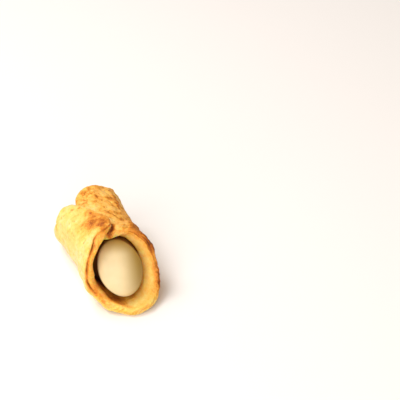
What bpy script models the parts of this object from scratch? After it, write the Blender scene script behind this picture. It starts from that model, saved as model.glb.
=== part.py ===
"""Mini cannolo: a diamond of pastry rolled round a tube, with cream piped through it."""
import math

import bpy
import numpy as np

# Driving dimensions, in metres and degrees.
TUBE_RADIUS = 0.0125        # outside of the rolled pastry at its waist
WALL = 0.0031               # thickness of the fried dough
LAP_GAP = 0.0003            # air between the two flaps
UNDER_PRESS = 0.0004        # how far the inner flap is pressed in by the outer one
FRONT_FLARE = 0.0027        # how far the sides stand out past the waist, 21 mm in front of it
BACK_FLARE = 0.0010         # and the same behind it
FLARE_REACH = 0.021
CUT_LEAN = 0.0042           # how far the outer flap's inner layer stands out past its outer one
FLAT_DEPTH = 0.00022        # slice taken off the underside, which leaves the resting spot
GRID_CELLS = 52             # cells along each side of the dough diamond
RELAX_STEPS = 1500
RIM_FULLNESS = (0.60, 0.88, 0.98, 1.0)      # thickness of the outermost rows, as a share
RIM_CREEP = (0, -0.72, -1.25, -1.35, 0)     # how many rows the outermost ones move outwards

# Skin of the fried dough.
BLISTER_SPACING = 0.0040
BLISTER_HEIGHT = 0.00060
BLISTER_RADIUS = (0.0014, 0.0030)
SKIN_BASE = 0.00018         # how far the skin between the blisters lies under the mean surface
RIPPLE_HEIGHT = 0.00016
RIPPLE_LENGTH = 0.0125
CRAGS = (                   # angle, length along the tube, radius and height of the large ones
    (116, 0.0086, 0.0050, 0.0008),
    (131, 0.0016, 0.0042, 0.0009),
    (92, 0.0070, 0.0040, 0.0006),
    (148, -0.0150, 0.0050, 0.0006),
    (-92, -0.0140, 0.0048, 0.0005),
)

# Edge of the cut dough. Angles run round the tube from the line it rests on, towards +X;
# lengths run along the tube towards the front mouth. Each side of the diamond is one list,
# from corner to corner.
OVER_TIP = (-183, 0.0022)
FRONT_LIP = (18, 0.0248)
UNDER_TIP = (216, -0.0040)
BACK_LIP = (24, -0.0334)
SIDE_OVER_FRONT = (OVER_TIP, (-181, 0.0050), (-165, 0.0076), (-149, 0.0098), (-132, 0.0134),
                   (-110, 0.0140), (-76, 0.0124), (-54, 0.0134), (-34, 0.0198), (-10, 0.0235), FRONT_LIP)
SIDE_FRONT_UNDER = (FRONT_LIP, (42, 0.0224), (72, 0.0158), (98, 0.0114), (132, 0.0086),
                    (160, 0.0078), (190, 0.0092), (210, 0.0046), UNDER_TIP)
SIDE_UNDER_BACK = (UNDER_TIP, (212, -0.0140), (196, -0.0217), (160, -0.0246), (124, -0.0262),
                   (72, -0.0298), BACK_LIP)
SIDE_BACK_OVER = (BACK_LIP, (-28, -0.0298), (-66, -0.0236), (-100, -0.0190), (-138, -0.0153),
                  (-152, -0.0120), (-167, -0.0048), (-179, -0.0008), OVER_TIP)

# Place of the tube's axis, and of length 0 on it, that centres the finished piece.
AXIS_X = -0.00016
AXIS_Y = -0.0044

# Cream: a bar that fills the tube and narrows to a leaning dome in each mouth.
CREAM_RADIUS = 0.0087
CREAM_DROP = 0.00035        # how far the full part lies below the tube's axis
DOME_WIDTH = 0.0082
DOME_HEIGHT = 0.0080
DOME_DEPTH = 0.0055
CREAM_TAPER = 0.55          # share of the straight run over which it narrows
POCKET_FILL = 0.0026        # cream pressed into the corner beside the inner flap's end
POCKET_ANGLE, POCKET_SPREAD = -122, 12
NECK_DEPTH = 0.0010         # groove behind each dome
NECK_PLACE, NECK_SPREAD = 0.76, 0.14
FRONT_TIP, FRONT_LEAN = 0.0172, 0.72
BACK_TIP, BACK_LEAN = -0.0235, 0.45
CREAM_RINGS = 33
CREAM_SECTORS = 36


def clear_scene():
    for thing in list(bpy.data.objects):
        bpy.data.objects.remove(thing, do_unlink=True)


def smooth_step(value):
    value = np.clip(value, 0.0, 1.0)
    return value * value * (3.0 - 2.0 * value)


def side_curve(points, before, after):
    """Catmull-Rom curve through one side's points, read by its share of the whole length."""
    knots = np.array([before, *points, after], dtype=float)
    knots[:, 0] = np.radians(knots[:, 0]) * TUBE_RADIUS
    steps = np.linspace(0.0, 1.0, 40, endpoint=False)[:, None]
    runs = []
    for p0, p1, p2, p3 in zip(knots, knots[1:], knots[2:], knots[3:]):
        runs.append(0.5 * (2 * p1 + (p2 - p0) * steps + (2 * p0 - 5 * p1 + 4 * p2 - p3) * steps**2
                           + (3 * p1 - p0 - 3 * p2 + p3) * steps**3))
    path = np.vstack([*runs, knots[-2][None]])
    length = np.concatenate([[0.0], np.cumsum(np.linalg.norm(np.diff(path, axis=0), axis=1))])
    share = length / length[-1]
    return lambda at: np.stack([np.interp(at, share, path[:, 0]), np.interp(at, share, path[:, 1])], -1)


def corner(tip):
    return np.array([math.radians(tip[0]) * TUBE_RADIUS, tip[1]])


def edge_spacing(at):
    """Draws the outermost rows of the sheet together, so that its rim can be rounded."""
    row = at * GRID_CELLS
    near = np.minimum(row, GRID_CELLS - row)
    shift = np.interp(near, [0, 1, 2, 3, 6], RIM_CREEP)
    return np.where(row < GRID_CELLS / 2, row + shift, row - shift)


def respace(grid, rows):
    """Reads the grid along its first direction at row numbers that needn't be whole."""
    low = np.minimum(rows.astype(int), len(grid) - 2)
    part = (rows - low)[:, None, None]
    return grid[low] * (1 - part) + grid[low + 1] * part


def cut_dough():
    """Points over the flat dough: a patch between its four sides, relaxed to even cells."""
    at = np.linspace(0.0, 1.0, GRID_CELLS + 1)
    south = side_curve(SIDE_OVER_FRONT, SIDE_BACK_OVER[-2], SIDE_FRONT_UNDER[1])(at)[:, None]
    east = side_curve(SIDE_FRONT_UNDER, SIDE_OVER_FRONT[-2], SIDE_UNDER_BACK[1])(at)[None]
    north = side_curve(SIDE_UNDER_BACK, SIDE_FRONT_UNDER[-2], SIDE_BACK_OVER[1])(1 - at)[:, None]
    west = side_curve(SIDE_BACK_OVER, SIDE_UNDER_BACK[-2], SIDE_OVER_FRONT[1])(1 - at)[None]
    s, t = at[:, None, None], at[None, :, None]
    corners = ((1 - s) * (1 - t) * corner(OVER_TIP) + s * (1 - t) * corner(FRONT_LIP)
               + s * t * corner(UNDER_TIP) + (1 - s) * t * corner(BACK_LIP))
    grid = (1 - t) * south + t * north + (1 - s) * west + s * east - corners
    for _ in range(RELAX_STEPS):
        inner = grid[2:, 1:-1] + grid[:-2, 1:-1] + grid[1:-1, 2:] + grid[1:-1, :-2]
        grid[1:-1, 1:-1] = inner / 4
    grid = respace(grid, edge_spacing(at))
    return respace(grid.swapaxes(0, 1), edge_spacing(at)).swapaxes(0, 1)


def vertex_array(mesh):
    places = np.empty(len(mesh.vertices) * 3)
    mesh.vertices.foreach_get("co", places)
    return places.reshape(-1, 3)


def move_vertices(mesh, places):
    mesh.vertices.foreach_set("co", places.astype(np.float32).ravel())
    mesh.update()


def apply_modifiers(thing):
    """Swaps the object's mesh for its evaluated one and drops the modifiers."""
    graph = bpy.context.evaluated_depsgraph_get()
    mesh = bpy.data.meshes.new_from_object(thing.evaluated_get(graph))
    thing.modifiers.clear()
    thing.data = mesh


def roll_radius(angle, along):
    """Radius of the middle of the wall at an angle in degrees and a length along the tube."""
    reach = along / FLARE_REACH
    folded = np.minimum(np.abs(angle), 360 - np.abs(angle))
    flare = np.where(reach > 0, FRONT_FLARE * np.abs(reach)**1.2, BACK_FLARE * reach**2)
    flare *= smooth_step((folded - 15) / 50) * (1 - 0.7 * smooth_step((folded - 85) / 55))
    lift = (WALL + LAP_GAP - UNDER_PRESS) * smooth_step((-angle - 88) / 50)
    press = UNDER_PRESS * smooth_step((angle - 118) / 50)
    return TUBE_RADIUS - WALL / 2 + flare + lift - press


def dome(arc, along, spot, radius, peak):
    far = ((arc - spot[0])**2 + (along - spot[1])**2) / radius**2
    return peak * np.sqrt(np.clip(1 - far, 0, 1))


def skin_relief(arc, along):
    """Blisters of the fried skin: small ones on an uneven grid, then the few large crags."""
    rng = np.random.default_rng(11)
    height = np.zeros_like(arc)
    first = np.array([arc.min(), along.min()])
    columns, rows = (np.array([np.ptp(arc), np.ptp(along)]) / BLISTER_SPACING).astype(int)
    for column in range(columns + 1):
        for row in range(rows + 1):
            spot = first + (np.array([column, row]) + rng.uniform(0.0, 1.0, 2)) * BLISTER_SPACING
            radius = rng.uniform(*BLISTER_RADIUS)
            peak = BLISTER_HEIGHT * rng.uniform(0.3, 1.0)
            height = np.maximum(height, dome(arc, along, spot, radius, peak))
    for angle, length, radius, peak in CRAGS:
        spot = (math.radians(angle) * TUBE_RADIUS, length)
        height += dome(arc, along, spot, radius, peak)**2 / peak
    return height - SKIN_BASE


def ripple(arc, along):
    """Slow waves in the rolled-out sheet, which keep its rims from being even curves."""
    turn = 2 * math.pi / RIPPLE_LENGTH
    return RIPPLE_HEIGHT * (np.sin(arc * turn + along * turn * 0.6)
                            + np.sin(along * turn * 1.3 - arc * turn * 0.45 + 1.0))


def make_shell():
    bpy.ops.mesh.primitive_grid_add(x_subdivisions=GRID_CELLS, y_subdivisions=GRID_CELLS, size=1)
    shell = bpy.context.object
    shell.name = "shell"
    along_row, along_column = np.rint((vertex_array(shell.data)[:, :2].T + 0.5) * GRID_CELLS).astype(int)
    sheet = cut_dough()[along_column, along_row]
    sheet[:, 1] += ripple(*sheet.T)
    move_vertices(shell.data, np.column_stack([sheet, np.zeros(len(sheet))]))

    rim = shell.vertex_groups.new(name="rim")
    rows = np.minimum(np.minimum(along_row, GRID_CELLS - along_row),
                      np.minimum(along_column, GRID_CELLS - along_column))
    fullness = np.interp(rows, [0, 1, 2, 3], RIM_FULLNESS)
    for index, weight in enumerate(fullness):
        rim.add([index], weight, "REPLACE")
    solid = shell.modifiers.new("wall", "SOLIDIFY")
    solid.thickness = WALL
    solid.offset = 0
    solid.vertex_group = rim.name
    apply_modifiers(shell)

    arc, along, depth = vertex_array(shell.data).T
    angle = np.degrees(arc / TUBE_RADIUS)
    lean = CUT_LEAN * np.exp(-((angle + 151) / 15)**2) * smooth_step(along / 0.005)
    along = along - lean * depth / WALL
    outer = np.clip(depth / (WALL / 2), 0, 1)
    in_sight = 1 - smooth_step((angle - 155) / 12)
    folded = np.minimum(np.abs(angle), 360 - np.abs(angle))
    off_floor = smooth_step((folded - 12) / 20)
    relief = skin_relief(arc, along) * outer * in_sight * off_floor
    radius = roll_radius(angle, along) + depth + relief
    turn = arc / TUBE_RADIUS
    height = np.maximum(TUBE_RADIUS - radius * np.cos(turn), FLAT_DEPTH) - FLAT_DEPTH
    across = AXIS_X + radius * np.sin(turn)
    move_vertices(shell.data, np.column_stack([across, AXIS_Y - along, height]))
    return shell


def make_cream():
    bpy.ops.mesh.primitive_uv_sphere_add(segments=CREAM_SECTORS, ring_count=CREAM_RINGS, radius=1)
    cream = bpy.context.object
    cream.name = "cream"
    side, up, pole = vertex_array(cream.data).T
    front = pole > 0
    tip = np.where(front, FRONT_TIP, BACK_TIP)
    slope = np.where(front, FRONT_LEAN, -BACK_LEAN)
    centre = (FRONT_TIP + BACK_TIP) / 2
    share = 2 * np.abs(np.arcsin(np.clip(pole, -1, 1))) / (math.pi / 2)
    run = np.minimum(share, 1)
    dome_turn = np.maximum(share - 1, 0) * math.pi / 2
    narrow = smooth_step((run - 1 + CREAM_TAPER) / CREAM_TAPER)
    neck = NECK_DEPTH * np.exp(-((run - NECK_PLACE) / NECK_SPREAD)**2)
    width = (CREAM_RADIUS + (DOME_WIDTH - CREAM_RADIUS) * narrow - neck) * np.cos(dome_turn)
    tall = (CREAM_RADIUS + (DOME_HEIGHT - CREAM_RADIUS) * narrow - neck) * np.cos(dome_turn)
    ring = np.maximum(np.hypot(side, up), 1e-9)
    angle = np.degrees(np.arctan2(side, -up))
    pocket = POCKET_FILL * np.exp(-((angle - POCKET_ANGLE) / POCKET_SPREAD)**2) * (1 - narrow)
    width = width + pocket
    tall = tall + pocket
    x = AXIS_X + side / ring * width
    z = up / ring * tall
    reach = np.abs(tip - centre) - DOME_DEPTH
    along = centre + np.sign(pole) * (reach * run + DOME_DEPTH * np.sin(dome_turn))
    along -= z * slope * smooth_step(run)
    height = TUBE_RADIUS - FLAT_DEPTH + z - CREAM_DROP * (1 - narrow)
    move_vertices(cream.data, np.column_stack([x, AXIS_Y - along, height]))
    return cream


def finish(thing, name, colour, roughness):
    material = bpy.data.materials.new(name)
    material.use_nodes = True
    shader = material.node_tree.nodes["Principled BSDF"]
    shader.inputs["Base Color"].default_value = (*colour, 1)
    shader.inputs["Roughness"].default_value = roughness
    thing.data.materials.clear()
    thing.data.materials.append(material)
    thing.data.shade_smooth()


def main():
    clear_scene()
    shell = make_shell()
    cream = make_cream()
    finish(shell, "fried pastry", (0.78, 0.47, 0.16), 0.6)
    finish(cream, "pistachio cream", (0.71, 0.57, 0.33), 0.45)
    group = bpy.data.collections.new("cannolo")
    bpy.context.scene.collection.children.link(group)
    for thing in (shell, cream):
        for owner in list(thing.users_collection):
            owner.objects.unlink(thing)
        group.objects.link(thing)


main()
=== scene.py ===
import math

import bpy
import numpy as np
from mathutils import Matrix, Vector, kdtree, noise


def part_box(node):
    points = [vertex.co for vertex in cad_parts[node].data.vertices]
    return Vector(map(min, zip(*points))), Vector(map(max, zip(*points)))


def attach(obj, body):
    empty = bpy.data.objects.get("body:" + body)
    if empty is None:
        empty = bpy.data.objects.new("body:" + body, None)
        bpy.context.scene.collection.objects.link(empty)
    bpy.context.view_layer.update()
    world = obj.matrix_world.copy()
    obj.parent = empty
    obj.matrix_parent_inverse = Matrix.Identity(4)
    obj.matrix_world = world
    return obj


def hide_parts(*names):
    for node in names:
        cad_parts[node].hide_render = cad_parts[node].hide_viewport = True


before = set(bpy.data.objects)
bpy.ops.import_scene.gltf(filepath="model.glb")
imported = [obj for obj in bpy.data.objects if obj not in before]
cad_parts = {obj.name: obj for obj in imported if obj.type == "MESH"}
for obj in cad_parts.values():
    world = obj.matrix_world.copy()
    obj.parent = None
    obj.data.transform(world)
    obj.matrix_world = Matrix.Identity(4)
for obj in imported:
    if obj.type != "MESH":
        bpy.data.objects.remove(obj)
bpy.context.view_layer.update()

# Pastry shell
# A diamond of sweet dough is rolled out, wrapped round a tube with one corner lapped over the
# opposite one, and deep-fried. The skin blisters, browns where it stands proud and shows small
# pits, and the cut edge swells into a soft inner layer and a thin outer crust with a groove between.
TUBE_RADIUS = 0.0125        # lengths are in metres, and angles in degrees from the line it rests on
WALL = 0.0031
AXIS_X = -0.00016           # the tube's axis, and where lengths along it are measured from
AXIS_Y = -0.0044

# The cut edge, as angle round the tube and length towards the front mouth.
OVER_TIP = (-183, 0.0022)
FRONT_LIP = (18, 0.0248)
UNDER_TIP = (216, -0.0040)
BACK_LIP = (24, -0.0334)
SIDE_OVER_FRONT = (OVER_TIP, (-181, 0.0050), (-165, 0.0076), (-149, 0.0098), (-132, 0.0134),
                   (-110, 0.0140), (-76, 0.0124), (-54, 0.0134), (-34, 0.0198), (-10, 0.0235), FRONT_LIP)
SIDE_FRONT_UNDER = (FRONT_LIP, (42, 0.0224), (72, 0.0158), (98, 0.0114), (132, 0.0086),
                    (160, 0.0078), (190, 0.0092), (210, 0.0046), UNDER_TIP)
SIDE_UNDER_BACK = (UNDER_TIP, (212, -0.0140), (196, -0.0217), (160, -0.0246), (124, -0.0262),
                   (72, -0.0298), BACK_LIP)
SIDE_BACK_OVER = (BACK_LIP, (-28, -0.0298), (-66, -0.0236), (-100, -0.0190), (-138, -0.0153),
                  (-152, -0.0120), (-167, -0.0048), (-179, -0.0008), OVER_TIP)
CURVE_STEPS = 40            # from one of these points to the next


def smooth_step(value):
    value = np.clip(value, 0.0, 1.0)
    return value * value * (3.0 - 2.0 * value)


def rise(values, start, width):
    """0 up to the start, then smoothly up to 1 over the width."""
    return smooth_step((values - start) / width)


def fall(values, start, width):
    return 1 - rise(values, start, width)


def between(values, start, rise_width, end, fall_width):
    """Rises from 0 to 1 after the start, and falls back to 0 after the end."""
    return rise(values, start, rise_width) * fall(values, end, fall_width)


def bell(values, middle, width):
    return np.exp(-((values - middle) / width)**2)


def side_curve(points, before, after):
    """Catmull-Rom curve through one side's points, read by its share of the whole length."""
    knots = np.array([before, *points, after], dtype=float)
    knots[:, 0] = np.radians(knots[:, 0]) * TUBE_RADIUS
    steps = np.linspace(0.0, 1.0, CURVE_STEPS, endpoint=False)[:, None]
    runs = []
    for p0, p1, p2, p3 in zip(knots, knots[1:], knots[2:], knots[3:]):
        runs.append(0.5 * (2 * p1 + (p2 - p0) * steps + (2 * p0 - 5 * p1 + 4 * p2 - p3) * steps**2
                           + (3 * p1 - p0 - 3 * p2 + p3) * steps**3))
    path = np.vstack([*runs, knots[-2][None]])
    length = np.concatenate([[0.0], np.cumsum(np.linalg.norm(np.diff(path, axis=0), axis=1))])
    share = length / length[-1]
    return lambda at: np.stack([np.interp(at, share, path[:, 0]), np.interp(at, share, path[:, 1])], -1)


def cut_sides(cells):
    """The four sides of the diamond, each with a point for every row of cells."""
    at = np.linspace(0.0, 1.0, cells + 1)
    south = side_curve(SIDE_OVER_FRONT, SIDE_BACK_OVER[-2], SIDE_FRONT_UNDER[1])(at)
    east = side_curve(SIDE_FRONT_UNDER, SIDE_OVER_FRONT[-2], SIDE_UNDER_BACK[1])(at)
    north = side_curve(SIDE_UNDER_BACK, SIDE_FRONT_UNDER[-2], SIDE_BACK_OVER[1])(1 - at)
    west = side_curve(SIDE_BACK_OVER, SIDE_UNDER_BACK[-2], SIDE_OVER_FRONT[1])(1 - at)
    return south, east, north, west


def relax(grid, steps):
    for _ in range(steps):
        grid[1:-1, 1:-1] = (grid[2:, 1:-1] + grid[:-2, 1:-1] + grid[1:-1, 2:] + grid[1:-1, :-2]) / 4
    return grid


def respace(grid, rows):
    """Reads the grid along its first direction at row numbers that needn't be whole."""
    low = np.minimum(rows.astype(int), len(grid) - 2)
    part = (rows - low)[:, None, None]
    return grid[low] * (1 - part) + grid[low + 1] * part


def respace_both(grid, rows):
    return respace(respace(grid, rows).swapaxes(0, 1), rows).swapaxes(0, 1)


COARSE_CELLS = 52
DOUBLINGS = 2
SHELL_CELLS = COARSE_CELLS * 2**DOUBLINGS
FIRST_RELAXING, LATER_RELAXING = 1500, 200
RIM_DRAW = 0.22             # how strongly the sheet's rows crowd towards its rim


def flat_dough():
    """Points over the flat dough, relaxed to even cells on ever finer grids."""
    south, east, north, west = cut_sides(COARSE_CELLS)
    at = np.linspace(0.0, 1.0, COARSE_CELLS + 1)
    s, t = at[:, None, None], at[None, :, None]
    corners = ((1 - s) * (1 - t) * south[0] + s * (1 - t) * south[-1] + s * t * north[-1]
               + (1 - s) * t * north[0])
    grid = ((1 - t) * south[:, None] + t * north[:, None] + (1 - s) * west[None] + s * east[None]
            - corners)
    grid = relax(grid, FIRST_RELAXING)
    for _ in range(DOUBLINGS):
        cells = (len(grid) - 1) * 2
        grid = respace_both(grid, np.arange(cells + 1) / 2).copy()
        south, east, north, west = cut_sides(cells)
        grid[:, 0], grid[-1], grid[:, -1], grid[0] = south, east, north, west
        grid = relax(grid, LATER_RELAXING)
    at = np.arange(SHELL_CELLS + 1) / SHELL_CELLS
    return respace_both(grid, (at - RIM_DRAW * np.sin(2 * math.pi * at) / (2 * math.pi)) * SHELL_CELLS)


RIPPLE_HEIGHT = 0.00016
RIPPLE_LENGTH = 0.0125
RIPPLES = (                 # turns round the tube, turns along it and start of each wave
    (1.00, 0.60, 0.0),
    (-0.45, 1.30, 1.0),
)
NOISE_GAIN = 1.6
SEED_STEP = 7.3


def ripple(arc, along):
    """Slow waves in the rolled-out sheet, which keep its rims from being even curves."""
    turn = 2 * math.pi / RIPPLE_LENGTH
    waves = [np.sin(turn * (turns_round * arc + turns_along * along) + start)
             for turns_round, turns_along, start in RIPPLES]
    return RIPPLE_HEIGHT * sum(waves)


def grained(arc, along, size, seed):
    """Noise from -1 to 1 with features of one size, over the flat dough."""
    values = [noise.noise(Vector((a / size, b / size, seed * SEED_STEP))) for a, b in zip(arc, along)]
    return np.clip(np.array(values) * NOISE_GAIN, -1, 1)


def vertex_array(mesh):
    places = np.empty(len(mesh.vertices) * 3)
    mesh.vertices.foreach_get("co", places)
    return places.reshape(-1, 3)


def move_vertices(mesh, places):
    mesh.vertices.foreach_set("co", places.astype(np.float32).ravel())
    mesh.update()


def deselect_all():
    bpy.ops.object.select_all(action="DESELECT")


def add_attribute(mesh, name, values):
    layer = mesh.attributes.new(name, "FLOAT", "POINT")
    layer.data.foreach_set("value", values.astype(np.float32))


# A flat sheet, one unit wide and one thick, whose points are moved to their places below.
deselect_all()
bpy.ops.mesh.primitive_grid_add(x_subdivisions=SHELL_CELLS, y_subdivisions=SHELL_CELLS, size=1)
shell = bpy.context.object
shell.name = "pastry_shell"
wall = shell.modifiers.new("wall", "SOLIDIFY")
wall.thickness = 1
wall.offset = 0
bpy.ops.object.modifier_apply(modifier=wall.name)

# The edges that run through the wall at the rim are cut, which gives the cut edge its own rows.
RIM_CUTS = 11
ends = np.empty(len(shell.data.edges) * 2, dtype=int)
shell.data.edges.foreach_get("vertices", ends)
heights = vertex_array(shell.data)[ends.reshape(-1, 2), 2]
through = np.abs(heights[:, 0] - heights[:, 1]) > 0.5
bpy.ops.object.mode_set(mode="EDIT")
bpy.ops.mesh.select_mode(type="EDGE")
bpy.ops.mesh.select_all(action="DESELECT")
bpy.ops.object.mode_set(mode="OBJECT")
shell.data.edges.foreach_set("select", through)
bpy.ops.object.mode_set(mode="EDIT")
bpy.ops.mesh.subdivide(number_cuts=RIM_CUTS)
bpy.ops.object.mode_set(mode="OBJECT")

# The dough's flat outline, its outward directions, and each point's distance from it.
OUTLINE_REACH = 4           # points either way that give the outline's direction
LOOP_STEPS = 4              # finer steps from one point of the outline to the next
dough = flat_dough()
dough[..., 1] += ripple(dough[..., 0], dough[..., 1])
last = SHELL_CELLS
count = np.arange(last)
loop_rows = np.concatenate([count, np.full(last, last), last - count, np.zeros(last, int)])
loop_columns = np.concatenate([np.zeros(last, int), count, np.full(last, last), last - count])
outline = dough[loop_rows, loop_columns]
step = np.roll(outline, -OUTLINE_REACH, axis=0) - np.roll(outline, OUTLINE_REACH, axis=0)
outward = np.stack([-step[:, 1], step[:, 0]], -1) / np.linalg.norm(step, axis=1)[:, None]
rim_out = np.zeros_like(dough)
rim_out[loop_rows, loop_columns] = outward

fine = [outline * (1 - k / LOOP_STEPS) + np.roll(outline, -1, axis=0) * k / LOOP_STEPS
        for k in range(LOOP_STEPS)]
fine = np.stack(fine, axis=1).reshape(-1, 2)
rim_tree = kdtree.KDTree(len(fine))
for index, (arc, along) in enumerate(fine):
    rim_tree.insert((arc, along, 0), index)
rim_tree.balance()


def rim_distance(places):
    """Distance of each flat place from the outline, negative inside it."""
    distances = np.empty(len(places))
    for place, (arc, along) in enumerate(places):
        spot, index, distance = rim_tree.find((arc, along, 0))
        side = outward[index // LOOP_STEPS]
        sign = np.sign((arc - spot.x) * side[0] + (along - spot.y) * side[1])
        distances[place] = distance * sign
    return distances


from_rim = -rim_distance(dough.reshape(-1, 2)).reshape(dough.shape[:2])
from_rim = np.maximum(from_rim, 0)
from_rim[loop_rows, loop_columns] = 0

# Each point's place on the flat dough, and its level through the wall, from -1 inside to 1 outside.
x, y, z = vertex_array(shell.data).T
row = np.rint((x + 0.5) * SHELL_CELLS).astype(int)
column = np.rint((y + 0.5) * SHELL_CELLS).astype(int)
arc, along = dough[column, row].T
through_wall = z * 2
edge_gap = from_rim[column, row]
on_rim = edge_gap == 0

# The wall is thinner at its very end. On the right of the front mouth its inner side is a slanting
# face that runs from the cream out to a thin edge, and on the left it swells over into the mouth.
# Two numbers after a length or an angle are a start or a middle and a width, and four are a start
# and a width and then an end and a width.
RIM_ROUND = 0.0015
RIM_THINNING = 0.24
EDGE_CUT = 0.0013
SLANT_LENGTH = 0.0034
CREAM_REACH = 0.0015        # how far the face stands in towards the cream
CREAM_REACH_GAP = (0.006, 0.010)
SLANT_SIDE = (25, 35, 150, 22)
SLANT_FRONT = (-0.004, 0.006)
LEFT_LIP = 0.0013
LEFT_LIP_REACH, LOW_LIP_REACH = 0.0022, 0.005
LOW_LIP_SIDE = (-125, 75)
LEFT_LIP_SIDE = (15, 60, 88, 56)        # as angles to the left
LEFT_LIP_FRONT = (0.002, 0.004)
near_end = np.clip(1 - edge_gap / RIM_ROUND, 0, 1)
depth = through_wall * (1 - RIM_THINNING * near_end**3) * WALL / 2
flat_angle = np.degrees(arc / TUBE_RADIUS)
slant = np.clip(1 - edge_gap / SLANT_LENGTH, 0, 1)
slant = EDGE_CUT * slant - CREAM_REACH * (1 - slant) * fall(edge_gap, *CREAM_REACH_GAP)
slant *= between(flat_angle, *SLANT_SIDE) * rise(along, *SLANT_FRONT)
lip_reach = LEFT_LIP_REACH + LOW_LIP_REACH * rise(flat_angle, *LOW_LIP_SIDE)
left_swell = between(-flat_angle, *LEFT_LIP_SIDE) * rise(along, *LEFT_LIP_FRONT)
left_swell *= LEFT_LIP * bell(edge_gap, 0, lip_reach)
depth += (slant - left_swell) * (1 - through_wall) / 2

# The cut edge has a bead on its inner side and a groove near its outer one. They come and go along
# it, and they are weakest on the sides named below.
FRONT = (0, 0.004)          # sets in towards the front mouth
BEAD_SWELL, BEAD_LEVEL = 0.00055, (-0.30, 0.55)
BEAD_GRAIN, BEAD_CHANGE = 0.0035, 0.35
BEAD_LOSS, TIP_BEAD_LOSS = 0.75, 0.6
GROOVE_DEPTH, GROOVE_LEVEL, GROOVE_WIDTH = 0.00070, 0.40, 0.20
GROOVE_GRAIN, GROOVE_MEAN, GROOVE_CHANGE, GROOVE_MOST = 0.0045, 0.95, 0.40, 1.4
RIGHT_GROOVE_LOSS, TIP_GROOVE_LOSS, LOW_GROOVE_LOSS = 0.5, 0.55, 0.75
WANDER_GRAIN, WANDER_CHANGE, RIGHT_WANDER = 0.0050, 0.10, 0.35
CRUMBLE, CRUMBLE_GRAIN, CRUMBLE_LEAST = 0.00042, 0.0011, 0.3
FOLD_DEPTH, FOLD_LEVEL = 0.00055, (-0.50, 0.22)     # the upper right edge folds over the inner face
FOLD_SIDE = (76, 20, 146, 16)
RIGHT_SIDE = (10, 40, 110, 25)
LOW_SIDE = (-75, 30, 10, 40)
UNDER_SIDE = (115, 25)
TIP_SIDE = (143, 14)                    # as angles to the left
CORNER_POWER = 8                        # how square the cut edge's corners stay
rim_arc = arc[on_rim]
rim_along = along[on_rim]
rim_angle = np.degrees(rim_arc / TUBE_RADIUS)
level = through_wall[on_rim]
right_side = between(rim_angle, *RIGHT_SIDE)
low_side = between(rim_angle, *LOW_SIDE)
under_side = rise(rim_angle, *UNDER_SIDE)
tip_side = rise(-rim_angle, *TIP_SIDE)
swell = 1 + BEAD_CHANGE * grained(rim_arc, rim_along, BEAD_GRAIN, 1)
swell *= (1 - BEAD_LOSS * np.maximum(under_side, right_side)) * (1 - TIP_BEAD_LOSS * tip_side)
cleft = GROOVE_MEAN + GROOVE_CHANGE * grained(rim_arc, rim_along, GROOVE_GRAIN, 2)
cleft = np.clip(cleft, 0, GROOVE_MOST) * (1 - under_side) * (1 - RIGHT_GROOVE_LOSS * right_side)
cleft *= (1 - TIP_GROOVE_LOSS * tip_side) * (1 - LOW_GROOVE_LOSS * low_side)
wander = WANDER_CHANGE * grained(rim_arc, rim_along, WANDER_GRAIN, 3) - RIGHT_WANDER * right_side
bead = BEAD_SWELL * swell * bell(level, *BEAD_LEVEL)
groove = GROOVE_DEPTH * cleft * bell(level, GROOVE_LEVEL + wander, GROOVE_WIDTH)
crumble = CRUMBLE * (CRUMBLE_LEAST + low_side)
crumble *= grained(rim_arc + level * WALL / 2, rim_along, CRUMBLE_GRAIN, 12)
folded_over = between(rim_angle, *FOLD_SIDE) * bell(level, *FOLD_LEVEL) * rise(rim_along, *FRONT)
bulge = (bead - groove + crumble - FOLD_DEPTH * folded_over) * (1 - level**CORNER_POWER)
arc = arc.copy()
along = along.copy()
arc[on_rim] += bulge * rim_out[column, row][on_rim, 0]
along[on_rim] += bulge * rim_out[column, row][on_rim, 1]

# In the oil the cut beside the outer flap's tip leans, the tip draws in, and the inner flap's front
# edge shrinks back, most of all beside the outer flap.
CUT_LEAN, LEAN_ANGLE = 0.0042, (-151, 15)
LEAN_FRONT = (0, 0.005)
TIP_RECESS, TIP_RECESS_SIDE = 0.0008, (160, 20)     # as angles to the left
UNDER_RECESSES = (          # how far, and the angles over which it sets in
    (0.0012, (120, 30)),
    (0.0009, (150, 25)),
)
RECESS_FRONT = (0, 0.008)
angle = np.degrees(arc / TUBE_RADIUS)
along = along - CUT_LEAN * bell(angle, *LEAN_ANGLE) * rise(along, *LEAN_FRONT) * depth / WALL
for recess, recess_side in UNDER_RECESSES:
    along -= recess * rise(angle, *recess_side) * rise(along, *RECESS_FRONT)
arc += TIP_RECESS * rise(-angle, *TIP_RECESS_SIDE)
angle = np.degrees(arc / TUBE_RADIUS)
outer = np.clip(depth / (WALL / 2), 0, 1)
inner = np.clip(-depth / (WALL / 2), 0, 1)

# The fried skin: blisters, crags, pits and a fine grain.
BLISTER_SPACING = 0.0040
BLISTER_HEIGHT = 0.00060
BLISTER_RADIUS = (0.0014, 0.0030)
BLISTER_SHARE = (0.3, 1.0)
BLISTER_SEED = 11
SKIN_BASE = 0.00018         # how much lower the skin between the blisters lies
CRAGS = (                   # angle, length, radius and height
    (116, 0.0086, 0.0050, 0.0008),
    (131, 0.0016, 0.0042, 0.0009),
    (92, 0.0070, 0.0040, 0.0006),
    (148, -0.0150, 0.0050, 0.0006),
    (-92, -0.0140, 0.0048, 0.0005),
)
SMALL_BLISTERS = (0.0017, (0.0006, 0.0011), 5)      # spacing, radius and seed
PITS = (0.0023, (0.00018, 0.00042), 8)
MARK_LEAST, MARK_POWER = 0.2, 1.5       # few of the marks are strong
PIT_MARGIN = 0.0008
FINE_GRAIN, WAVE_GRAIN, CREASE_GRAIN, CRUST_GRAIN = 0.0008, 0.0022, 0.0016, 0.0011
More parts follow.
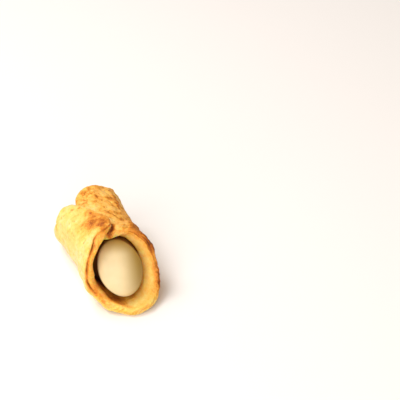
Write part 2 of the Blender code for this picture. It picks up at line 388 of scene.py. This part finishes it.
SMALL_BLISTER_HEIGHT = 0.00018
GRAIN_HEIGHT = 0.00006
WAVE_HEIGHT = 0.00010
CREASE_HEIGHT = 0.00014
PIT_DEPTH = 0.00034
INSIDE_WAVE_HEIGHT = 0.00004
CRUST_HEIGHT, CRUST_WIDTH = 0.00022, 0.0013
SMOOTHEST, ROUGH_SIDE = 0.35, (20, 70)
RIGHT_EDGE = (35, 30, 150, 15)
LAP_FADE = (0, 0.0016)
FLOOR_FADE = (12, 20)


def from_bottom(angle):
    """Angle from the line it rests on, on either side."""
    return np.minimum(np.abs(angle), 360 - np.abs(angle))


def squared_distance(arc, along, spot, size):
    """How far each place is from a spot, as the square of its share of the spot's size."""
    return ((arc - spot[0])**2 + (along - spot[1])**2) / size**2


def nearness(arc, along, spot, size):
    """1 at a spot, and 0 from its size outwards."""
    return np.clip(1 - squared_distance(arc, along, spot, size), 0, 1)


def skin_relief(arc, along):
    """Blisters of the fried skin: small ones on an uneven grid, then the few large crags."""
    rng = np.random.default_rng(BLISTER_SEED)
    height = np.zeros_like(arc)
    first = np.array([arc.min(), along.min()])
    columns, rows = (np.array([np.ptp(arc), np.ptp(along)]) / BLISTER_SPACING).astype(int)
    for blister_column in range(columns + 1):
        for blister_row in range(rows + 1):
            cell = np.array([blister_column, blister_row]) + rng.uniform(0.0, 1.0, 2)
            radius = rng.uniform(*BLISTER_RADIUS)
            peak = BLISTER_HEIGHT * rng.uniform(*BLISTER_SHARE)
            near = nearness(arc, along, first + cell * BLISTER_SPACING, radius)
            height = np.maximum(height, peak * np.sqrt(near))
    for crag_angle, length, radius, peak in CRAGS:
        spot = (math.radians(crag_angle) * TUBE_RADIUS, length)
        height += peak * nearness(arc, along, spot, radius)
    return height - SKIN_BASE


def scattered(arc, along, spacing, radius, seed):
    """Round marks on an uneven grid, each strongest in its middle and 0 at its edge."""
    rng = np.random.default_rng(seed)
    marks = np.zeros_like(arc)
    for first_arc in np.arange(arc.min(), arc.max(), spacing):
        for first_along in np.arange(along.min(), along.max(), spacing):
            first = np.array([first_arc, first_along])
            spot = first + rng.uniform(-0.5, 1.5, 2) * spacing
            size = rng.uniform(*radius)
            strength = MARK_LEAST + (1 - MARK_LEAST) * rng.uniform(0.0, 1.0)**MARK_POWER
            by_spot = (np.abs(arc - spot[0]) < size) & (np.abs(along - spot[1]) < size)
            near = nearness(arc[by_spot], along[by_spot], spot, size)
            marks[by_spot] = np.maximum(marks[by_spot], strength * near)
    return marks


# Under the outer flap the inner one keeps a smooth skin, as the pastry does where it rests.
lapped = rim_distance(np.column_stack([arc - 2 * math.pi * TUBE_RADIUS, along]))
in_sight = np.where(angle > 90, rise(lapped, *LAP_FADE), 1.0)
off_floor = rise(from_bottom(angle), *FLOOR_FADE)

blisters = skin_relief(arc, along)
small = scattered(arc, along, *SMALL_BLISTERS)
pits = scattered(arc, along, *PITS) * (edge_gap > PIT_MARGIN)
skin_grain = grained(arc, along, FINE_GRAIN, 4)
skin_wave = grained(arc, along, WAVE_GRAIN, 5)
rough = SMOOTHEST + (1 - SMOOTHEST) * rise(angle, *ROUGH_SIDE)
fine_skin = SMALL_BLISTER_HEIGHT * np.sqrt(small) + GRAIN_HEIGHT * skin_grain + WAVE_HEIGHT * skin_wave
fine_skin += CREASE_HEIGHT * np.abs(grained(arc, along, CREASE_GRAIN, 7)) * rough
fine_skin = fine_skin * rough - PIT_DEPTH * pits
relief = (blisters + fine_skin) * outer * in_sight * off_floor
relief += INSIDE_WAVE_HEIGHT * skin_wave * inner
right_edge = between(angle, *RIGHT_EDGE) * rise(along, *FRONT)
crust = CRUST_HEIGHT * grained(arc, along, CRUST_GRAIN, 13)
relief += crust * right_edge * bell(edge_gap, 0, CRUST_WIDTH)

# The dough is rolled up: both mouths flare, the outer flap lies on the inner one, and the inner
# flap's front edge curls up where it leaves the tube.
LAP_GAP = 0.0003
UNDER_PRESS = 0.0004        # how far the outer flap presses the inner one in
FLARE_REACH = 0.021
FRONT_FLARE, FRONT_FLARE_POWER = 0.0027, 1.2
BACK_FLARE, BACK_FLARE_POWER = 0.0010, 2
FLARE_SIDE = (15, 50)
TOP_FLARE_LOSS, TOP_FLARE_SIDE = 0.7, (85, 55)
LIFT_SIDE = (88, 50)                    # as angles to the left
PRESS_SIDE = (118, 50)
RIDGE_HEIGHT = 0.0006
RIDGE_WIDTH = 0.0018
RIDGE_SIDE = (100, 25, 152, 12)
RIDGE_FRONT = (0.001, 0.004)
FLAT_DEPTH = 0.00022        # how much is flattened along the line it rests on


def roll_radius(angle, along):
    """Radius of the middle of the wall at an angle in degrees and a length along the tube."""
    reach = along / FLARE_REACH
    flare = np.where(reach > 0, FRONT_FLARE * np.abs(reach)**FRONT_FLARE_POWER,
                     BACK_FLARE * reach**BACK_FLARE_POWER)
    flare *= rise(from_bottom(angle), *FLARE_SIDE)
    flare *= 1 - TOP_FLARE_LOSS * rise(from_bottom(angle), *TOP_FLARE_SIDE)
    lift = (WALL + LAP_GAP - UNDER_PRESS) * rise(-angle, *LIFT_SIDE)
    press = UNDER_PRESS * rise(angle, *PRESS_SIDE)
    return TUBE_RADIUS - WALL / 2 + flare + lift - press


ridge = RIDGE_HEIGHT * between(angle, *RIDGE_SIDE)
ridge *= bell(edge_gap, 0, RIDGE_WIDTH) * rise(along, *RIDGE_FRONT)
radius = roll_radius(angle, along) + depth + relief + ridge
turn = arc / TUBE_RADIUS
height = np.maximum(TUBE_RADIUS - radius * np.cos(turn), FLAT_DEPTH) - FLAT_DEPTH
rolled = np.column_stack([AXIS_X + radius * np.sin(turn), AXIS_Y - along, height])
low, high = (np.array(corner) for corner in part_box("shell"))
move_vertices(shell.data, np.clip(rolled, low, high))
shell.data.shade_smooth()

# Browning of the skin, from 0 to 1: most at the tips, on the crags and along the top, least on the
# left side. The darker right side is partly painted shade, as that side faces away from the lamps.
PALE_TOAST = 0.15
# Browning of the right side and the top, with painted shade on the right flank.
RIGHT_TOAST_AND_SHADE, DARK_SIDE = 0.31, (20, 100)
TIP_TOAST, TIP_TOAST_SIDE = 0.06, (140, 25)         # as angles to the left
TOAST_BANDS = (             # strength, angle and width
    (0.09, (-132, 24)),
    (-0.09, (-45, 32)),
)
PALE_STRIP, STRIP_ANGLE, STRIP_LENGTH = 0.02, (186, 20), (-0.013, 0.007)
BLOTCH_TOAST, BLOTCH_GRAIN = 0.07, 0.0060
WAVE_TOAST, ROUGH_WAVE_TOAST = 0.04, 0.06
GRAIN_TOAST = 0.04
BLISTER_TOAST, ROUGH_BLISTER_TOAST = 0.12, 0.12
BLISTER_TOP = (0.0002, 0.0006)
BROWN_SPOTS = (             # angle, length, radius and strength
    (-167, 0.0056, 0.0016, 0.18),
    (-168, 0.0015, 0.0060, 0.15),
    (136, 0.0080, 0.0022, 0.20),
    (118, 0.0095, 0.0024, 0.25),
    (-169, -0.0007, 0.0034, 0.13),
    (-160, 0.0014, 0.0036, 0.12),
    (-176, 0.0042, 0.0034, 0.17),
    (-152, 0.0030, 0.0050, 0.17),
    (-160, -0.0050, 0.0042, 0.21),
    (-130, -0.0020, 0.0060, 0.05),
    (-166, 0.0062, 0.0022, 0.16),
    (-162, -0.0032, 0.0006, 0.30),
    (-153, -0.0092, 0.0007, 0.40),
    (-103, -0.0169, 0.0018, 0.40),
    (186, -0.0201, 0.0014, 0.20),
    (172, -0.0158, 0.0009, 0.22),
    (152, -0.0101, 0.0012, 0.28),
    (148, -0.0063, 0.0022, 0.20),
    (152, -0.0013, 0.0010, 0.22),
    (154, -0.0221, 0.0030, 0.16),
    (138, -0.0185, 0.0105, -0.12),
    (97, 0.0071, 0.0040, -0.16),
    (111, -0.0272, 0.0030, 0.20),
    (99, 0.0065, 0.0036, 0.06),
    (86, 0.0090, 0.0030, 0.04),
    (72, 0.0129, 0.0030, 0.18),
    (57, 0.0169, 0.0030, 0.26),
)
SPOT_SHARPNESS, SPOT_MOTTLE = 1.4, 0.3
toast_and_shade = PALE_TOAST + RIGHT_TOAST_AND_SHADE * rise(angle, *DARK_SIDE) + TIP_TOAST * rise(-angle, *TIP_TOAST_SIDE)
for strength, band_angle in TOAST_BANDS:
    toast_and_shade += strength * bell(angle, *band_angle)
toast_and_shade -= PALE_STRIP * bell(angle, *STRIP_ANGLE) * bell(along, *STRIP_LENGTH)
toast_and_shade += BLOTCH_TOAST * grained(arc, along, BLOTCH_GRAIN, 6)
toast_and_shade += (WAVE_TOAST + ROUGH_WAVE_TOAST * rough) * skin_wave + GRAIN_TOAST * skin_grain
toast_and_shade += (BLISTER_TOAST + ROUGH_BLISTER_TOAST * rough) * rise(blisters, *BLISTER_TOP)
for spot_angle, length, spot_radius, strength in BROWN_SPOTS:
    spot = (math.radians(spot_angle) * TUBE_RADIUS, length)
    far = squared_distance(arc, along, spot, spot_radius)
    toast_and_shade += strength * np.exp(-far * SPOT_SHARPNESS) * (1 + SPOT_MOTTLE * skin_wave)

# Browning of the inner side: even and pale, with painted shade deep in the roll, and darker behind the
# slanting face.
INSIDE_TOAST, INSIDE_WAVE_TOAST = 0.25, 0.05
HIGH_INSIDE_TOAST, HIGH_INSIDE = 0.05, (75, 50)
DEEP_ROLL_SHADE, DEEP_GAP = 0.30, (0.016, 0.006)
SLANT_TOAST, SLANT_GAP, SLANT_TOAST_SIDE = 0.12, (0.0012, 0.0036), (25, 40)
on_outside = outer**0.5
on_inside = 1 - on_outside
inside_tone_and_shade = INSIDE_TOAST + INSIDE_WAVE_TOAST * skin_wave + HIGH_INSIDE_TOAST * rise(angle, *HIGH_INSIDE)
# Painted shade deep in the roll, where little light reaches.
inside_tone_and_shade += DEEP_ROLL_SHADE * rise(edge_gap, *DEEP_GAP)
inside_tone_and_shade += SLANT_TOAST * rise(edge_gap, *SLANT_GAP) * rise(angle, *SLANT_TOAST_SIDE)
toast_and_shade = toast_and_shade * on_outside + inside_tone_and_shade * on_inside

# Browning along the cut edge: a crust band on the right, partly painted shade, a fainter one below,
# the left rim, and a line behind the lower lip. Painted shade darkens the hollow behind the left rim,
# the groove and the fold.
BAND_TOAST_AND_SHADE, BAND_WIDTH = 0.38, 0.0022
INNER_LEVEL, INNER_BAND_WIDTH = -0.95, 0.0008
HIGH_BAND_LOSS, HIGH_BAND_SIDE = 0.50, (72, 25)
LOW_TOAST, LOW_WIDTH = 0.12, 0.0012
LOW_EDGE, LOW_LEVEL = (-80, 30, 20, 35), (-0.8, 0.5)
LEFT_TOAST, LEFT_RIM_GAP = 0.21, 0.0006
LEFT_RIM, LEFT_RIM_FRONT = (30, 25), (0.001, 0.004)         # as angles to the left
HOLLOW_SHADE, HOLLOW_GAP = 0.42, (0.0003, 0.0015)
HOLLOW_SIDE, HOLLOW_FRONT = (-5, 30, 95, 30), (0.002, 0.004)        # as angles to the left
BEHIND_TOAST, BEHIND_GAP = 0.03, (0.0008, 0.0010)
LINE_TOAST, LINE_GAP, LINE_SIDE = 0.16, (0.0009, 0.0006), (-80, 30, 35, 35)
GROOVE_SHADE, GROOVE_SPREAD = 0.46, 1.2
FOLD_SHADE = 0.14
band_width = np.where(through_wall > INNER_LEVEL, BAND_WIDTH, INNER_BAND_WIDTH)
high_loss = HIGH_BAND_LOSS * rise(angle, *HIGH_BAND_SIDE)
# Crust browning, with painted shade on the right rim, which faces away from the lamps.
toast_and_shade += BAND_TOAST_AND_SHADE * bell(edge_gap, 0, band_width) * right_edge * (1 - high_loss)
low_edge = between(angle, *LOW_EDGE) * rise(along, *FRONT) * rise(through_wall, *LOW_LEVEL)
toast_and_shade += LOW_TOAST * bell(edge_gap, 0, LOW_WIDTH) * low_edge
left_rim = rise(-angle, *LEFT_RIM) * rise(along, *LEFT_RIM_FRONT) * (edge_gap < LEFT_RIM_GAP)
toast_and_shade += LEFT_TOAST * left_rim * on_inside
hollow = between(-angle, *HOLLOW_SIDE) * rise(edge_gap, *HOLLOW_GAP) * rise(along, *HOLLOW_FRONT)
# Painted shade in the hollow behind the left rim.
toast_and_shade += HOLLOW_SHADE * hollow * on_inside
toast_and_shade += BEHIND_TOAST * rise(edge_gap, *BEHIND_GAP) * on_inside
lip_line = between(angle, *LINE_SIDE) * bell(edge_gap, *LINE_GAP) * rise(along, *FRONT)
toast_and_shade += LINE_TOAST * lip_line * on_inside
# Painted shade along the groove of the cut edge.
toast_and_shade[on_rim] += GROOVE_SHADE * cleft * bell(level, GROOVE_LEVEL + wander, GROOVE_WIDTH * GROOVE_SPREAD)
# Painted shade under the fold of the upper right edge.
toast_and_shade[on_rim] += FOLD_SHADE * folded_over

# On the inner flap along the outer one: a painted shadow at the outer flap's edge, and a paler strip
# beside it.
SEAM_SIDE = (120, 20)
SEAM_SHADOW, SEAM_GAP, SEAM_FRONT = 0.50, (0, 0.0007), (-0.001, 0.003)
STRIP_TOAST, STRIP_GAP, STRIP_FRONT = 0.12, (0.0028, 0.0018), (0.001, 0.003)
BACK_STRIP_TOAST, BACK_STRIP_GAP = 0.15, (0.0018, 0.0016)
beside_seam = rise(angle, *SEAM_SIDE)
strip = STRIP_TOAST * bell(lapped, *STRIP_GAP) * rise(along, *STRIP_FRONT)
strip += BACK_STRIP_TOAST * bell(lapped, *BACK_STRIP_GAP) * fall(along, *SEAM_FRONT)
# Painted shadow at the outer flap's edge.
toast_and_shade += SEAM_SHADOW * bell(lapped, *SEAM_GAP) * beside_seam * rise(along, *SEAM_FRONT)
toast_and_shade -= strip * beside_seam * on_outside

# Fine browned lines, which are strongest on the rougher right side.
WRINKLE_GRAIN, WRINKLE_WIDTH, WRINKLE_MEAN = 0.0019, 0.16, 0.5
wrinkles = np.clip(1 - np.abs(grained(arc, along, WRINKLE_GRAIN, 9)) / WRINKLE_WIDTH, 0, 1)
wrinkles *= np.clip(WRINKLE_MEAN + skin_wave, 0, 1) * outer * rough
add_attribute(shell.data, "wrinkle", wrinkles)
add_attribute(shell.data, "inside", on_inside)
add_attribute(shell.data, "pit", np.sqrt(pits) * outer * in_sight)


def new_material(name):
    material = bpy.data.materials.new(name)
    material.use_nodes = True
    nodes = material.node_tree.nodes
    return material, nodes, material.node_tree.links, nodes["Principled BSDF"]


def add_node(nodes, kind, **settings):
    node = nodes.new(kind)
    for setting, value in settings.items():
        setattr(node, setting, value)
    return node


def object_noise(nodes, links, features_per_metre, detail, roughness):
    place = add_node(nodes, "ShaderNodeTexCoord")
    texture = add_node(nodes, "ShaderNodeTexNoise")
    texture.inputs["Scale"].default_value = features_per_metre
    texture.inputs["Detail"].default_value = detail
    texture.inputs["Roughness"].default_value = roughness
    links.new(place.outputs["Object"], texture.inputs["Vector"])
    return texture.outputs["Fac"]


def attribute(nodes, name):
    return add_node(nodes, "ShaderNodeAttribute", attribute_name=name).outputs["Fac"]


def blend_math(nodes, links, operation, first, second):
    node = add_node(nodes, "ShaderNodeMath", operation=operation)
    for socket, value in zip(node.inputs, (first, second)):
        if isinstance(value, (int, float)):
            socket.default_value = value
        else:
            links.new(value, socket)
    return node.outputs[0]


def scaled(nodes, links, value, factor, added):
    product = blend_math(nodes, links, "MULTIPLY", value, factor)
    return blend_math(nodes, links, "ADD", product, added)


def toned(nodes, links, value, tones):
    """Colour of a value from tones, each a place from 0 to 1 and a linear colour."""
    ramp = add_node(nodes, "ShaderNodeValToRGB")
    elements = ramp.color_ramp.elements
    while len(elements) < len(tones):
        elements.new(0.5)
    for element, (position, colour) in zip(elements, tones):
        element.position = position
        element.color = (*colour, 1)
    links.new(value, ramp.inputs["Fac"])
    return ramp.outputs["Color"]


def tinted(nodes, links, share, first, colour, blend_type="MIX"):
    mix = add_node(nodes, "ShaderNodeMix", data_type="RGBA", blend_type=blend_type)
    links.new(share, mix.inputs["Factor"])
    links.new(first, mix.inputs["A"])
    mix.inputs["B"].default_value = (*colour, 1)
    return mix.outputs["Result"]


def add_bump(nodes, links, shader, height, strength, distance):
    bump = add_node(nodes, "ShaderNodeBump")
    bump.inputs["Strength"].default_value = strength
    bump.inputs["Distance"].default_value = distance
    links.new(height, bump.inputs["Height"])
    links.new(bump.outputs["Normal"], shader.inputs["Normal"])


PASTRY_TONES = (            # share of browning and linear colour
    (0.00, (0.86, 0.65, 0.34)),
    (0.22, (0.91, 0.595, 0.180)),
    (0.42, (0.90, 0.465, 0.090)),
    (0.62, (0.66, 0.25, 0.028)),
    (0.82, (0.42, 0.115, 0.008)),
    (1.00, (0.16, 0.040, 0.006)),
)
PIT_TINT = (0.60, 0.40, 0.20)
MOTTLE = (900, 6.0, 0.65)               # features in a metre, detail and roughness
SPECKLE = (2600, 3.0, 0.6)
SKIN_BUMP = (3200, 5.0, 0.6)
MOTTLE_SHARE, SPECKLE_SHARE, WRINKLE_SHARE = 0.50, 0.40, 0.32
GLOSS_CHANGE, GLOSS_MEAN = 0.5, 0.58
# Share of the light that goes into the pastry and how far it goes, each with what the pale inner
# side adds.
OUTSIDE_LIGHT, INSIDE_LIGHT = 0.30, 0.60
OUTSIDE_REACH, INSIDE_REACH = 0.0020, 0.0040
LIGHT_COLOUR_REACH = (1.0, 0.40, 0.12)
pastry, nodes, links, shader = new_material("fried_pastry")
mottle = blend_math(nodes, links, "SUBTRACT", object_noise(nodes, links, *MOTTLE), 0.5)
speckle = blend_math(nodes, links, "SUBTRACT", object_noise(nodes, links, *SPECKLE), 0.5)
shade = scaled(nodes, links, mottle, MOTTLE_SHARE, attribute(nodes, "toast_and_shade"))
shade = scaled(nodes, links, speckle, SPECKLE_SHARE, shade)
shade = scaled(nodes, links, attribute(nodes, "wrinkle"), WRINKLE_SHARE, shade)
tone = toned(nodes, links, shade, PASTRY_TONES)
tone = tinted(nodes, links, attribute(nodes, "pit"), tone, PIT_TINT, "MULTIPLY")
inside = attribute(nodes, "inside")
links.new(tone, shader.inputs["Base Color"])
links.new(scaled(nodes, links, mottle, GLOSS_CHANGE, GLOSS_MEAN), shader.inputs["Roughness"])
light_share = scaled(nodes, links, inside, INSIDE_LIGHT, OUTSIDE_LIGHT)
light_reach = scaled(nodes, links, inside, INSIDE_REACH, OUTSIDE_REACH)
links.new(light_share, shader.inputs["Subsurface Weight"])
links.new(light_reach, shader.inputs["Subsurface Scale"])
shader.inputs["Subsurface Radius"].default_value = LIGHT_COLOUR_REACH
shader.inputs["Specular IOR Level"].default_value = 0.20
bump_height = blend_math(nodes, links, "ADD", object_noise(nodes, links, *SKIN_BUMP), mottle)
add_bump(nodes, links, shader, bump_height, strength=0.5, distance=0.00012)
shell.data.materials.clear()
shell.data.materials.append(pastry)
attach(shell, "root")
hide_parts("shell")

# Pistachio cream
# A smooth whipped cream is piped through the tube from both ends, so that it fills the pastry
# and stands in each mouth as a soft leaning dome, drawn in a little where it leaves the wall.
CREAM_SEGMENTS, CREAM_RINGS = 160, 120
CREAM_RADIUS = 0.0087
CREAM_DROP = 0.00035        # deep in the tube it lies lower, and it presses against the wall
WALL_CONTACT = 0.0009
CREAM_TAPER = 0.55
DOME_WIDTH = 0.0085
DOME_HEIGHT = 0.0084
DOME_DEPTH = 0.0055
DOME_SHIFT, DOME_LIFT = 0.0004, 0.0004
DOME_HOLLOWS = (            # share taken off, and the angle round the dome from its right side
    (0.13, (50, 48)),
    (0.06, (-30, 45)),
)
POCKET_FILL = 0.0033        # the space under the outer flap is full too
POCKET_ANGLE = (-128, 20)
POCKET_RUN = (0.25, 0.30)
NECK_DEPTH = 0.0020
NECK_RUN = (0.76, 0.14)
NECK_LEAST = 0.1            # it hardly shows but on the open side, at the left of the front mouth
OPEN_SIDE = (-0.9, -0.1, 0.0)
FRONT_TIP, FRONT_LEAN = 0.0172, 0.72
BACK_TIP, BACK_LEAN = -0.0235, 0.45
deselect_all()
bpy.ops.mesh.primitive_uv_sphere_add(segments=CREAM_SEGMENTS, ring_count=CREAM_RINGS, radius=1)
cream = bpy.context.object
cream.name = "cream_filling"

# On each half of the ball the first half of the way from its equator to its pole becomes the roll
# in the tube, run from 0 to 1, and the second half becomes the dome.
side, up, pole = vertex_array(cream.data).T
front = pole > 0
share = 2 * np.abs(np.arcsin(np.clip(pole, -1, 1))) / (math.pi / 2)
run = np.minimum(share, 1)
dome_turn = np.maximum(share - 1, 0) * math.pi / 2
narrow = rise(run, 1 - CREAM_TAPER, CREAM_TAPER)
ring = np.maximum(np.hypot(side, up), 1e-9)
rightwards = side / ring
upwards = up / ring


def facing(to_right, to_top, shift):
    """0 to 1 round the cream, by how far each side of it faces right and up."""
    return smooth_step(to_right * rightwards + to_top * upwards + shift)


open_side = facing(*OPEN_SIDE)
from_right = np.degrees(np.arctan2(up, side))
around = np.degrees(np.arctan2(side, -up))
hollows = sum(loss * bell(from_right, *hollow_angle) for loss, hollow_angle in DOME_HOLLOWS)
kept = 1 - hollows * narrow * front
neck = NECK_DEPTH * bell(run, *NECK_RUN) * np.where(front, NECK_LEAST + (1 - NECK_LEAST) * open_side, 1)
width = (CREAM_RADIUS + (DOME_WIDTH - CREAM_RADIUS) * narrow - neck) * np.cos(dome_turn)
tall = (CREAM_RADIUS + (DOME_HEIGHT - CREAM_RADIUS) * narrow - neck) * np.cos(dome_turn)
pressed = (POCKET_FILL * bell(around, *POCKET_ANGLE) + WALL_CONTACT) * fall(run, *POCKET_RUN)
cream_x = AXIS_X + rightwards * (width * kept + pressed) + DOME_SHIFT * narrow * front
cream_z = upwards * (tall * kept + pressed)
centre = (FRONT_TIP + BACK_TIP) / 2
reach = np.abs(np.where(front, FRONT_TIP, BACK_TIP) - centre) - DOME_DEPTH
cream_along = centre + np.sign(pole) * (reach * run + DOME_DEPTH * np.sin(dome_turn))
cream_along -= cream_z * np.where(front, FRONT_LEAN, -BACK_LEAN) * smooth_step(run)
cream_height = TUBE_RADIUS - FLAT_DEPTH + cream_z - CREAM_DROP * (1 - narrow) + DOME_LIFT * narrow * front
move_vertices(cream.data, np.column_stack([cream_x, AXIS_Y - cream_along, cream_height]))
cream.data.shade_smooth()

# Painted shade darkens the pastry along the line where it meets the cream, and in a wider strip at
# the bottom of the mouths, where the dome overhangs.
CONTACT_SHADE = 0.80
CONTACT_REACH, LOW_REACH = 0.00045, 0.0010
LOW_REACH_SIDE = (-75, 40, 30, 40)
MOST_OUTSIDE, INNER_LEVELS = 0.3, -0.5      # only the wall's inner side can meet the cream
contact_reach = CONTACT_REACH + LOW_REACH * between(angle, *LOW_REACH_SIDE)
cream_tree = kdtree.KDTree(len(cream.data.vertices))
for index, vertex in enumerate(cream.data.vertices):
    cream_tree.insert(vertex.co, index)
cream_tree.balance()
# Painted shade on the pastry near the cream.
for index in np.flatnonzero((on_outside < MOST_OUTSIDE) & (through_wall < INNER_LEVELS)):
    distance = cream_tree.find(shell.data.vertices[index].co)[2]
    toast_and_shade[index] += CONTACT_SHADE * math.exp(-(distance / contact_reach[index])**2)
# Browning together with the painted shade and shadow marks above, as one value.
add_attribute(shell.data, "toast_and_shade", np.clip(toast_and_shade, 0, 1))

# Painted shade darkens the cream down at its neck, between it and the wall, and painted olive shade
# darkens its right side and its top.
LOW_RIGHT, HIGH_RIGHT = (0.6, -0.8, 0.6), (0.7, 0.6, -0.1)
NECK_SHADE_FROM, LOW_NECK_SHADE_FROM, HIGH_NECK_SHADE_FROM = 0.94, 0.21, -0.02
NECK_SHADE_FADE, LOW_NECK_SHADE_FADE, OPEN_NECK_SHADE_FADE = 0.14, -0.05, 0.10
RIGHT_SHADE_SHARE, TOP_SHADE_SHARE = 0.95, 0.9
RIGHT_SHADE_RISE, RIGHT_SHADE_SLOPE, TOP_SHADE_RISE = (-0.34, 1.20), 0.10, (0.60, 0.44)
low_right = facing(*LOW_RIGHT)
high_right = facing(*HIGH_RIGHT)
neck_shade_from = NECK_SHADE_FROM + LOW_NECK_SHADE_FROM * low_right + HIGH_NECK_SHADE_FROM * high_right
neck_shade_fade = NECK_SHADE_FADE + LOW_NECK_SHADE_FADE * low_right + OPEN_NECK_SHADE_FADE * open_side
# Painted shade at the cream's neck.
add_attribute(cream.data, "painted_neck_shade", fall(share, neck_shade_from, neck_shade_fade))
to_right = rightwards * np.cos(dome_turn)
to_top = upwards * np.cos(dome_turn)
# Painted shade, olive-tinted, on the cream's right side and its top.
shade_on_right = RIGHT_SHADE_SHARE * rise(to_right - RIGHT_SHADE_SLOPE * to_top, *RIGHT_SHADE_RISE)
shade_on_top = TOP_SHADE_SHARE * rise(to_top, *TOP_SHADE_RISE)
add_attribute(cream.data, "painted_side_shade", 1 - (1 - shade_on_right) * (1 - shade_on_top))

CREAM_TONES = (
    (0.30, (0.72, 0.585, 0.325)),
    (0.70, (0.80, 0.65, 0.385)),
)
PAINTED_OLIVE_SHADE = (0.37, 0.225, 0.028)
NECK_SHADE_TONE = (0.10, 0.036, 0.005)
CREAM_MOTTLE = (160, 3.0, 0.5)
CREAM_BUMP = (700, 3.0, 0.5)
whipped, nodes, links, shader = new_material("whipped_pistachio_cream")
tone = toned(nodes, links, object_noise(nodes, links, *CREAM_MOTTLE), CREAM_TONES)
# Painted olive shade on the right side and the top.
tone = tinted(nodes, links, attribute(nodes, "painted_side_shade"), tone, PAINTED_OLIVE_SHADE)
# Painted shade at the neck.
tone = tinted(nodes, links, attribute(nodes, "painted_neck_shade"), tone, NECK_SHADE_TONE)
links.new(tone, shader.inputs["Base Color"])
shader.inputs["Roughness"].default_value = 0.42
shader.inputs["Subsurface Weight"].default_value = 0.2
shader.inputs["Subsurface Radius"].default_value = (1.0, 0.8, 0.4)
shader.inputs["Subsurface Scale"].default_value = 0.001
add_bump(nodes, links, shader, object_noise(nodes, links, *CREAM_BUMP), strength=0.25, distance=0.0001)
cream.data.materials.clear()
cream.data.materials.append(whipped)
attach(cream, "root")
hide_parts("cream")

# Floor
# A plain pale tabletop, which isn't part of the food. It lies a hair below the pastry, so that their
# flat faces don't flicker.
FLOOR_SIZE = 4.0
FLOOR_DROP = 0.00002
deselect_all()
bpy.ops.mesh.primitive_plane_add(size=FLOOR_SIZE, location=(0, 0, -FLOOR_DROP))
floor = bpy.context.object
floor.name = "floor"
tabletop, nodes, links, shader = new_material("pale_tabletop")
shader.inputs["Base Color"].default_value = (0.86, 0.86, 0.86, 1)
shader.inputs["Roughness"].default_value = 0.7
floor.data.materials.append(tabletop)

# Light
# A soft window high on the left and a little behind throws the shadow to the lower right, a larger
# one in front lights the mouth, and the warm room fills the shadows.
ROOM_COLOUR = (1.0, 0.75, 0.56, 1)
ROOM_STRENGTH = 0.32
world = bpy.data.worlds.new("warm_room")
bpy.context.scene.world = world
world.use_nodes = True
world.node_tree.nodes["Background"].inputs["Color"].default_value = ROOM_COLOUR
world.node_tree.nodes["Background"].inputs["Strength"].default_value = ROOM_STRENGTH


def view_direction(azimuth, elevation):
    azimuth, elevation = math.radians(azimuth), math.radians(elevation)
    return Vector((math.sin(azimuth) * math.cos(elevation), -math.cos(azimuth) * math.cos(elevation),
                   math.sin(elevation)))


def add_window(name, azimuth, elevation, distance, size, power, colour):
    light = bpy.data.lights.new(name, "AREA")
    light.color = colour
    light.size = size
    light.energy = power
    lamp = bpy.data.objects.new(name, light)
    bpy.context.scene.collection.objects.link(lamp)
    towards = view_direction(azimuth, elevation)
    lamp.location = towards * distance
    lamp.rotation_euler = towards.to_track_quat("Z", "Y").to_euler()


add_window("window", azimuth=-134, elevation=60, distance=0.8, size=0.45, power=5.0,
           colour=(1.0, 1.0, 1.0))
add_window("front_fill", azimuth=-37, elevation=35, distance=0.9, size=0.90, power=8.2,
           colour=(1.0, 0.97, 0.92))

# Camera
# It looks down on the front mouth from the left, as the photograph does. The middle of the tube shows
# at AXIS_PIXEL, which is counted from the picture's top left corner.
AZIMUTH, ELEVATION = -22.8, 34
DISTANCE = 0.600
PICTURE_PIXELS = 400
PIXELS_PER_METRE = 2810
AXIS_PIXEL = (108, 249)
SENSOR = 36
back = view_direction(AZIMUTH, ELEVATION)
right = Vector((math.cos(math.radians(AZIMUTH)), math.sin(math.radians(AZIMUTH)), 0))
up_in_view = back.cross(right)
off_right = (AXIS_PIXEL[0] - PICTURE_PIXELS / 2) / PIXELS_PER_METRE
off_up = -(AXIS_PIXEL[1] - PICTURE_PIXELS / 2) / PIXELS_PER_METRE
camera_data = bpy.data.cameras.new("camera")
camera_data.sensor_width = SENSOR
camera_data.lens = SENSOR * PIXELS_PER_METRE * DISTANCE / PICTURE_PIXELS
camera_data.clip_start = 0.01
camera = bpy.data.objects.new("camera", camera_data)
bpy.context.scene.collection.objects.link(camera)
target = Vector((AXIS_X, AXIS_Y, TUBE_RADIUS))
camera.location = target + back * DISTANCE - right * off_right - up_in_view * off_up
camera.rotation_euler = Matrix((right, up_in_view, back)).transposed().to_euler()
bpy.context.scene.camera = camera
bpy.context.scene.view_settings.view_transform = "Standard"
